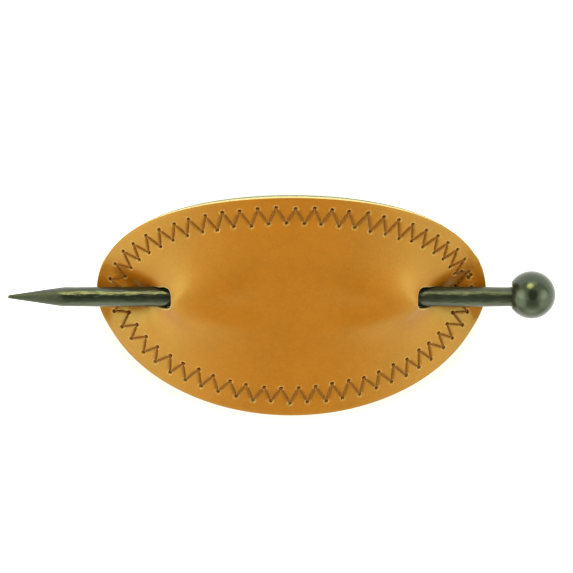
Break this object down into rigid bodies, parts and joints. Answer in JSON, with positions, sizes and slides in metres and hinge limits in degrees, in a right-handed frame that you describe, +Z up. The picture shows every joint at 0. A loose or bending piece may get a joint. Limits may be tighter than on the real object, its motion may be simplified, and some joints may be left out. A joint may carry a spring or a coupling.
{
  "type": "hair barrette with stick",
  "caption": "Arched oval of leather with a thin lining and punched holes, held in the hair by a sharpened stick with a ball end that slides through the holes.",
  "frame": {"origin": "on the table, under the middle of the whole piece, with the leather lying on its two toes", "axes": "+X along the stick towards its ball, +Y across the oval, +Z up, towards the leather's face"},
  "size_m": [0.1642, 0.0698, 0.0165],
  "materials": {
    "tan_leather": "satin",
    "lining_leather": "matte",
    "painted_wood": "satin",
    "gloss_painted_wood": "gloss"
  },
  "bodies": {
    "barrette": {"leather_oval": "tan_leather", "lining": "lining_leather"},
    "pin": {"stick": "painted_wood", "ball": "gloss_painted_wood"}
  },
  "joints": [
    {"name": "stick_slide", "type": "slide", "parent": "barrette", "child": "pin", "axis": [1, 0, 0], "range_m": [-0.007, 0.146]}
  ]
}
